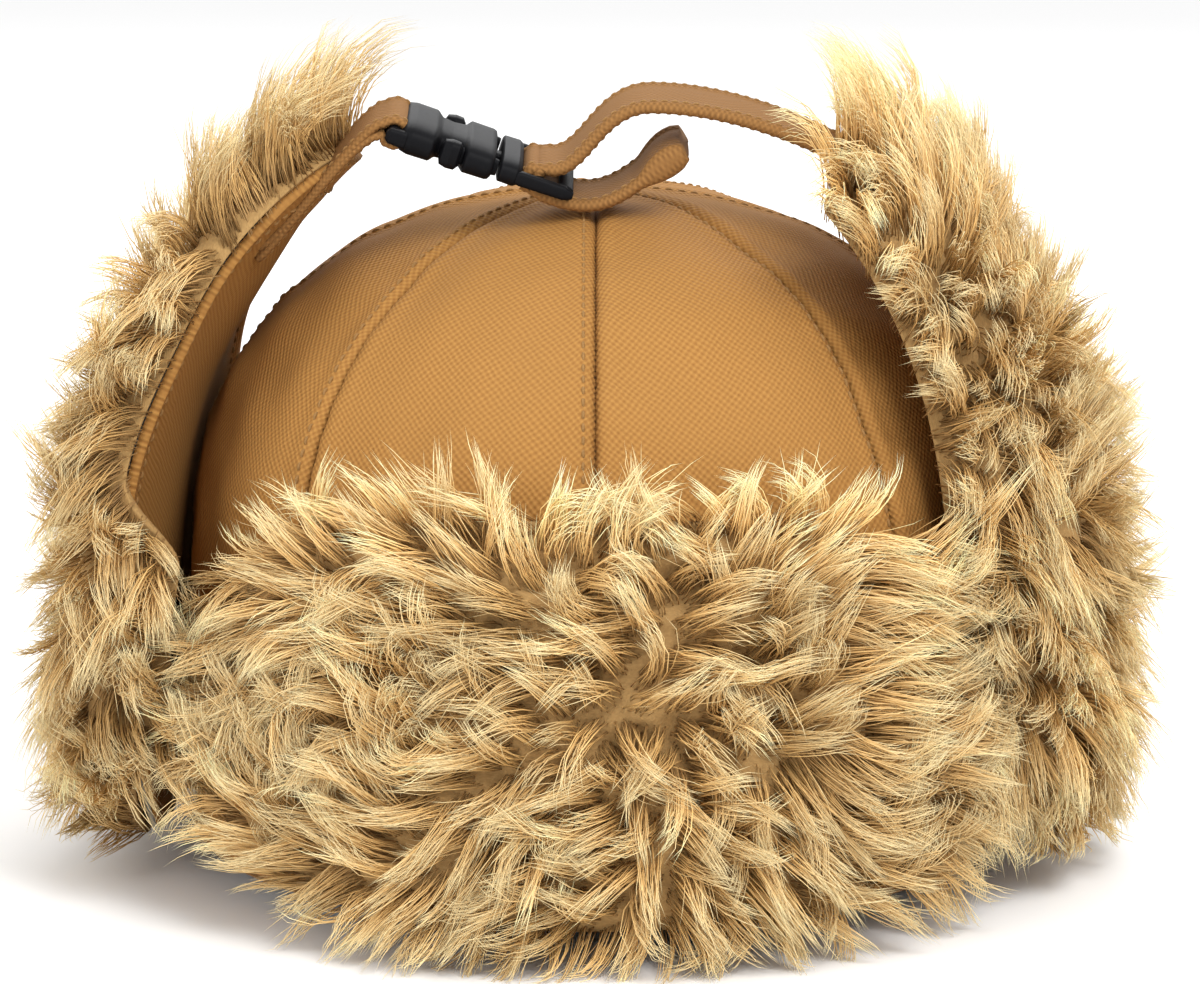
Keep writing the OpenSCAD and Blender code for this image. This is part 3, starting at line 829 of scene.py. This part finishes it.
def neck_flap():
    skin = wrapped_sheet("Neck_Flap", "neck", "neck_flap", NECK_H, 22, True)
    fur(["Neck_Fur_Left", "Neck_Fur_Middle", "Neck_Fur_Right"], skin,
        radial(0.0, 0.5, 105, 104), "neck_flap", density=0.75, gap=4.8, long=27, seed=41,
        # painted light: the neck flap's pile is painted a little darker, and brighter along its
        # upper edge
        lowest=-3.0, painted_light=(0.96, 0.2))


def ear_flap(side):
    word = "right" if side > 0 else "left"
    cap, body = word.title(), word + "_flap"
    pts, p, q = flap_points(44, 76, side, FLAP_OUT["canvas"], margin=4.0)
    n, flip = facing(pts, HEART)
    hemmed = SHEET_T + 0.8 * smooth(np.maximum(np.abs(p), q), 0.86, 0.92)
    o = piece(shell(body + "_canvas", pts, hemmed, flip=flip), CANVAS, body,
              cap + "_Flap_Canvas", [body + "_canvas"])
    cloth(o, pts, "folded", "Rim_Binding")
    hem(cap + "_Flap_Topstitch", pts - n * hemmed[..., None], -n, body, (4, 5))
    inner, p, q = flap_points(36, 60, side, FLAP_OUT["interlining"], margin=12)
    o = piece(shell(body + "_interlining", inner, INTERLINING_T, flip=facing(inner, HEART)[1]),
              WADDING, body, cap + "_Flap_Interlining", [body + "_interlining"])
    cloth(o, inner, "folded", cap + "_Flap_Canvas")
    bed, p, q = flap_points(84, 110, side, FLAP_OUT["fur"], margin=1, close=2.3, roll=1.0)
    depth = bed_depth(p, q, bed, 7.0)
    fur_bed(cap + "_Flap_Fur_Backing", bed, depth, body, body + "_fur")
    skin = Skin(bed, p, q, depth)
    fur([cap + "_Fur_" + part for part in ("Front", "Mid_Front", "Mid_Rear", "Rear")], skin,
        over_tip(radial(0.15, 0.42, 62, 180)), body, density=1.0, gap=4.3, long=27,
        # painted light: the left flap is painted darker, as if out of the lamp's light, and the
        # right one is painted brighter along its top
        seed=51 + side, lowest=3.0, painted_light=(0.96, 0.24) if side > 0 else (0.90, 0.04))


# ---- the strap, its loop and the buckle ----

TILT, LEAN = math.radians(19), math.radians(9)      # down to the right, and back
BUCKLE_AT = np.array([-26.0, -34.0, 163.0])
BAR_AT = 13.8           # the clip's bar, along the buckle from its centre
EYE_AT = -20.4          # the socket's bar, that the loop goes round
BAR_HALF = 1.5


def buckle_frame(u, w, t):
    """From the closed buckle's own directions (along, across, through) to the hat's."""
    x = u * math.cos(TILT) + t * math.sin(TILT)
    z = -u * math.sin(TILT) + t * math.cos(TILT)
    return np.array([x, w * math.cos(LEAN) - z * math.sin(LEAN),
                     w * math.sin(LEAN) + z * math.cos(LEAN)]) + BUCKLE_AT


def along_buckle(x, z):
    """A point of the hat's x and z, in the buckle's own along and through."""
    x, z = x - BUCKLE_AT[0], z - BUCKLE_AT[2]
    return np.array([x * math.cos(TILT) - z * math.sin(TILT),
                     x * math.sin(TILT) + z * math.cos(TILT)])


def bezier(a, b, c, d, n):
    t = lines(n)[:, None]
    return (1 - t) ** 3 * a + 3 * t * (1 - t) ** 2 * b + 3 * t * t * (1 - t) * c + t ** 3 * d


def tape_piece(name, path2, wide, thick, body, nodes, section=None):
    """A tape with stitching along both edges. path2 is in the buckle's along and through."""
    path = np.array([buckle_frame(u, 0, t) for u, t in path2])
    across = buckle_frame(0, 1, 0) - BUCKLE_AT
    side = np.broadcast_to(across, path.shape)
    sec = tape_section(wide, thick) if section is None else section
    piece(sweep(name, path, side, sec), TAPE, body, name, nodes)
    along = unit(np.gradient(path, axis=0))
    up = unit(np.cross(side, along))
    for face, k in (("Top", 1), ("Under", -1)):
        for edge, s in (("Rear", 1), ("Front", -1)):
            line = path + side * s * (wide / 2 - 2.0) + up * k * thick / 2 * 1.03
            stitches(f"{name}_Stitch_{face}_{edge}", line, up * k, THREAD, body, 2.4, 1.8, 0.26)


def strap():
    """From the right flap over the crown, round the clip's bar and back to a thick folded end."""
    bar, turn = BAR_AT, BAR_HALF + 0.4 + 1.0
    phi = math.radians(FLAP_HIGH + 1.4)
    end = along_buckle((FLAP_A - 1.3) * math.cos(phi), FLAP_Z + (FLAP_B - 1.3) * math.sin(phi))
    top, tail = along_buckle(12.6, 175.5), along_buckle(20, 165)
    level = np.array([math.cos(TILT), math.sin(TILT)])
    start, low = np.array([bar, turn]), np.array([bar, -turn])
    main = np.concatenate([
        bezier(start, start + [10, 0], top - 13 * level, top, 30),
        bezier(top, top + 16 * level, end + [-14, 3], end, 24)[1:]])
    arc = np.array([[bar - turn * math.cos(a), -turn * math.sin(a)]
                    for a in np.linspace(math.pi / 2, -math.pi / 2, 12)[1:-1]])
    back = bezier(low, low + [19, -2.2], tail + [-10, -12], tail, 26)
    path = np.concatenate([main[::-1], arc, back])
    thick = np.full(len(path), STRAP_T)
    thick[-9:] = STRAP_T * np.array([1.0, 1.2, 1.6, 2.0, 2.3, 2.5, 2.5, 2.3, 1.6])
    base = tape_section(STRAP_W, 1.0)
    section = np.stack([base * [1, t] for t in thick])
    tape_piece("Strap", path, STRAP_W, STRAP_T, "strap", ["strap"], section)


def sewn_tapes():
    """The loop that holds the socket, and the patch that the strap hangs from."""
    eye = np.array([EYE_AT, 0.0])
    phi = math.radians(FLAP_HIGH - 12)
    foot = along_buckle(-(FLAP_A - 3) * math.cos(phi), FLAP_Z + (FLAP_B - 3) * math.sin(phi))
    ring = np.array([eye + 2.9 * np.array([math.cos(a), math.sin(a)])
                     for a in np.linspace(-2.6, 2.6, 16)])
    lead = bezier(foot, foot + [3, 3], eye + [-8, -1.6], ring[0], 12)
    back = bezier(ring[-1], eye + [-7, 1.4], foot + [4, 6.5], foot + [-0.5, 2.5], 12)
    tape_piece("Buckle_Loop", np.concatenate([lead, ring[1:-1], back]), STRAP_W, 1.9, "left_flap",
               ["buckle_loop"])
    phi = np.radians(lines(10, FLAP_HIGH - 10, FLAP_HIGH + 0.6))
    path = np.stack([(FLAP_A - 1.6) * np.cos(phi), np.full(10, BUCKLE_AT[1]),
                     FLAP_Z + (FLAP_B - 1.6) * np.sin(phi)], -1)
    side = np.broadcast_to([0.0, 1.0, 0.0], path.shape)
    piece(sweep("Strap_Anchor", path, side, tape_section(STRAP_W, 2.2)), TAPE, "right_flap",
          "Strap_Anchor", ["strap_anchor"])


def joined(name, meshes):
    """One mesh of several, which are used up."""
    bm = bmesh.new()
    for me in meshes:
        bm.from_mesh(me)
        bpy.data.meshes.remove(me)
    out = bpy.data.meshes.new(name)
    bm.to_mesh(out)
    bm.free()
    return out


def oval(half_w, half_t, power=3.2, count=24):
    """A soft-cornered cross-section of moulded plastic."""
    a = np.arange(count) * 2 * np.pi / count
    c, s = np.cos(a), np.sin(a)
    return np.stack([half_w * np.sign(c) * np.abs(c) ** (2 / power),
                     half_t * np.sign(s) * np.abs(s) ** (2 / power)], -1)


def moulded(stations, w=0.0):
    """Plastic that runs along the buckle. A station is (u, half its width, half its thickness)."""
    stations = np.array(stations, dtype=float)
    u = np.linspace(stations[0, 0], stations[-1, 0], 60)
    wide, thick = (np.interp(u, stations[:, 0], stations[:, k]) for k in (1, 2))
    path = np.array([buckle_frame(x, w, 0) for x in u])
    side = np.broadcast_to(buckle_frame(0, 1, 0) - BUCKLE_AT, path.shape)
    return sweep("run", path, side, np.stack([oval(a, b) for a, b in zip(wide, thick)]))


def cross_bar(u, half, r_u, r_t):
    """A bar that runs across the buckle."""
    path = np.array([buckle_frame(u, w, 0) for w in lines(16, -half, half)])
    side = np.broadcast_to(buckle_frame(1, 0, 0) - BUCKLE_AT, path.shape)
    return sweep("bar", path, side, oval(r_u, r_t, 2.2, 16))


def buckle():
    """A side-release buckle: the socket's waist shows the prongs, the clip holds the strap."""
    half = 13.4
    body = [(-19.0, 11.5, 2.2), (-18.4, 13.0, 3.6), (-16.5, half, 4.1), (-11.4, half, 4.0),
            (-10.2, 9.2, 3.5), (-7.4, 8.6, 3.3), (-4.6, 9.2, 3.5), (-3.4, half, 4.0),
            (2.0, half, 3.9), (2.8, half - 0.3, 3.5), (3.0, half - 0.8, 2.8)]
    arm = [(-22.2, 0.8, 0.9), (-21.4, 1.4, 1.8), (-18.6, 1.5, 2.0), (-17.6, 1.5, 2.0)]
    socket = [moulded(body), cross_bar(EYE_AT, 12.0, 1.6, 1.9),
              moulded(arm, 11.9), moulded(arm, -11.9)]
    piece(joined("socket", socket), BLACK, "left_flap", "Buckle_Socket", ["buckle_socket"])
    collar = [(4.5, half - 0.9, 2.6), (4.8, half - 0.2, 3.2), (8.4, half - 0.2, 3.3),
              (9.4, half - 0.6, 2.6), (9.8, half - 1.2, 1.4)]
    tongue = [(-8.0, 1.7, 0.8), (-7.0, 2.2, 1.2), (5.0, 2.2, 1.2)]
    rail = [(8.6, 1.2, 1.4), (9.6, 1.3, 1.7), (20.0, 1.3, 1.6), (22.0, 1.0, 0.8)]
    clip = [moulded(collar), moulded(tongue), moulded(rail, 12.0), moulded(rail, -12.0),
            cross_bar(BAR_AT, 12.2, BAR_HALF, BAR_HALF), cross_bar(20.4, 12.2, 1.7, 1.5)]
    piece(joined("clip", clip), BLACK, "strap", "Buckle_Clip", ["buckle_clip"])
    for node, w in (("prong_front", -1), ("prong_rear", 1)):
        pad = [(-9.4, 0.9, 1.6), (-8.9, 1.9, 2.9), (-7.2, 2.5, 3.3), (-5.4, 2.2, 3.2),
               (-4.6, 1.1, 2.2)]
        stem = [(-9.2, 0.9, 1.5), (-8.4, 1.2, 2.0), (3.0, 1.2, 2.0), (4.1, 1.2, 1.8)]
        prong = [moulded(pad, w * 10.7), moulded(stem, w * 9.45)]
        piece(joined(node, prong), BLACK, node, node.title(), [node])


# ---- floor, light and camera ----

def studio():
    """A pale floor under the fringe, an even white surround and three soft lights."""
    floor = FUR_FLOOR * MM
    s = 6.0
    me = bpy.data.meshes.new("floor")
    me.from_pydata([(-s, -s, floor), (s, -s, floor), (s, s, floor), (-s, s, floor)], [],
                   [(0, 1, 2, 3)])
    o = bpy.data.objects.new("Floor", me)
    w = Nodes("floor")
    me.materials.append(w.set(Base_Color=(0.92, 0.92, 0.92, 1), Roughness=0.9,
                              Specular_IOR_Level=0.1))
    bpy.context.scene.collection.objects.link(o)
    world = bpy.data.worlds.new("studio")
    world.use_nodes = True
    world.node_tree.nodes["Background"].inputs[0].default_value = (1.0, 1.0, 1.0, 1)
    world.node_tree.nodes["Background"].inputs[1].default_value = 1.0
    bpy.context.scene.world = world
    bpy.context.scene.view_settings.view_transform = "Standard"
    for name, where, size, power in (("Key", (0.55, -1.1, 1.25), 0.7, 21.0),
                                     ("Fill", (-1.2, -0.9, 0.6), 0.9, 7.0),
                                     ("Back", (0.1, 1.3, 1.2), 0.9, 12.0)):
        light = bpy.data.lights.new(name, "AREA")
        light.size, light.energy = size, power
        lamp = bpy.data.objects.new(name, light)
        lamp.location = where
        look = Vector((0, 0, 0.08)) - Vector(where)
        lamp.rotation_euler = look.to_track_quat("-Z", "Y").to_euler()
        bpy.context.scene.collection.objects.link(lamp)


def camera():
    """In front of the hat and a little above it."""
    rise, far, wide = math.radians(10.0), 1.25, 0.283
    aim = Vector((0.001, 0.0, 0.0785))
    cam = bpy.data.cameras.new("Camera")
    cam.sensor_width = 36.0
    cam.lens = 36.0 * far / wide
    o = bpy.data.objects.new("Camera", cam)
    o.location = aim + Vector((0, -math.cos(rise), math.sin(rise))) * far
    o.rotation_euler = (aim - o.location).to_track_quat("-Z", "Y").to_euler()
    bpy.context.scene.collection.objects.link(o)
    bpy.context.scene.camera = o


crown()
visor()
neck_flap()
ear_flap(-1)
ear_flap(1)
strap()
sewn_tapes()
buckle()
studio()
camera()
